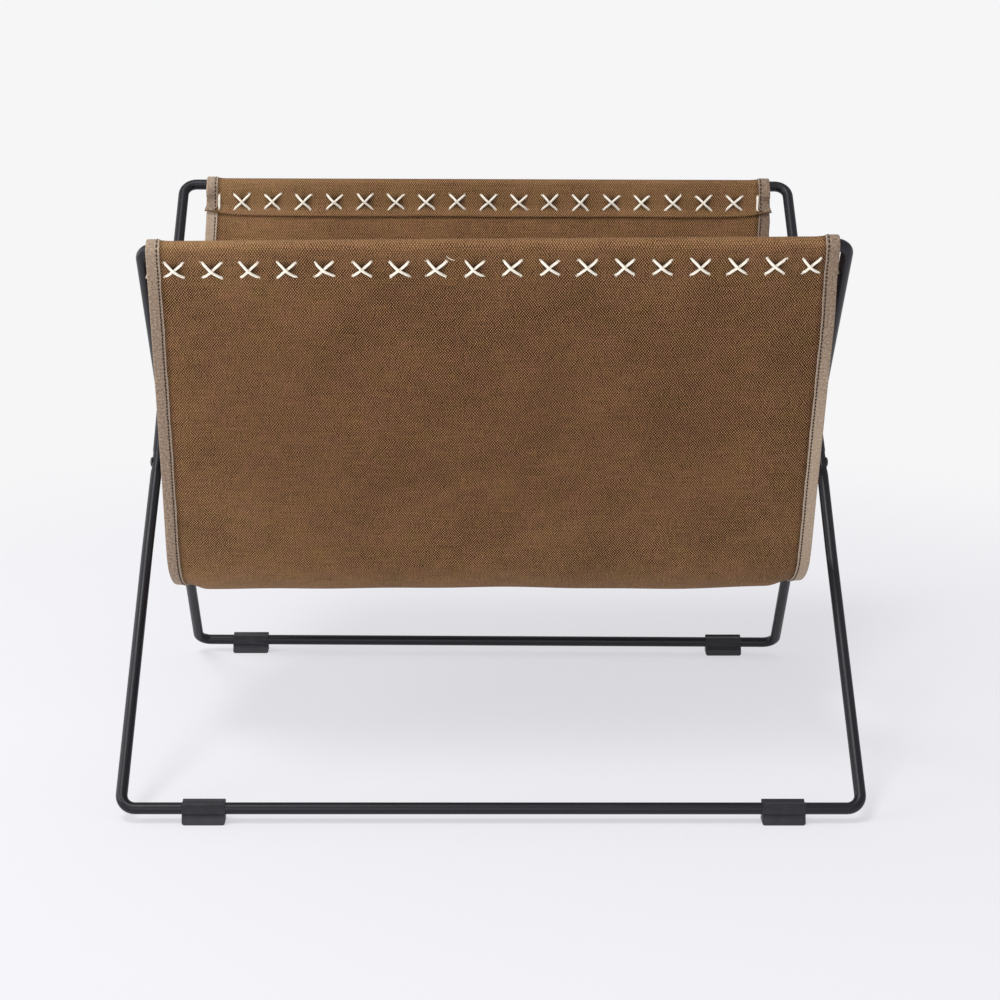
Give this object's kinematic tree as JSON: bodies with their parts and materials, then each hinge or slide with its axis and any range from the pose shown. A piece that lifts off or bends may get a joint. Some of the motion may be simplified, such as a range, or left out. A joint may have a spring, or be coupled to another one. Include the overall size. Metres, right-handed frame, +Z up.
{
  "type": "magazine rack",
  "caption": "Folding magazine rack with two crossed rod frames riveted at the sides and a laced canvas pouch hung between the top bars.",
  "frame": {"origin": "on the floor, under the middle of the rack", "axes": "+X along the bars to the right, +Y to the back, +Z up"},
  "size_m": [0.4164, 0.3088, 0.3275],
  "materials": {
    "powder_coated_rod": "black powder coat, satin",
    "rivet_steel": "blackened steel rivet",
    "spacer_nylon": "black nylon, moulded",
    "foot_plastic": "black plastic, moulded, matte",
    "waxed_canvas": "brown waxed cotton canvas, plain weave, worn patches",
    "binding_tape": "taupe cotton twill tape",
    "cotton_cord": "off-white waxed cotton cord"
  },
  "bodies": {
    "wide_side": {"wide_frame": "powder_coated_rod", "foot_front_left": "foot_plastic", "foot_front_right": "foot_plastic", "pivot_rivet_left": "rivet_steel", "pivot_rivet_right": "rivet_steel", "pivot_spacer_left": "spacer_nylon", "pivot_spacer_right": "spacer_nylon", "sling_canvas": "waxed_canvas", "edge_binding_left": "binding_tape", "edge_binding_right": "binding_tape", "lacing_cord_back": "cotton_cord"},
    "narrow_side": {"narrow_frame": "powder_coated_rod", "foot_back_left": "foot_plastic", "foot_back_right": "foot_plastic", "lacing_cord_front": "cotton_cord"}
  },
  "joints": [
    {"name": "fold", "type": "hinge", "parent": "wide_side", "child": "narrow_side", "pos_m": [0, 0, 0.16968], "axis": [-1, 0, 0], "range_deg": [0, 80], "deforming": ["sling_canvas", "edge_binding_left", "edge_binding_right"]}
  ]
}
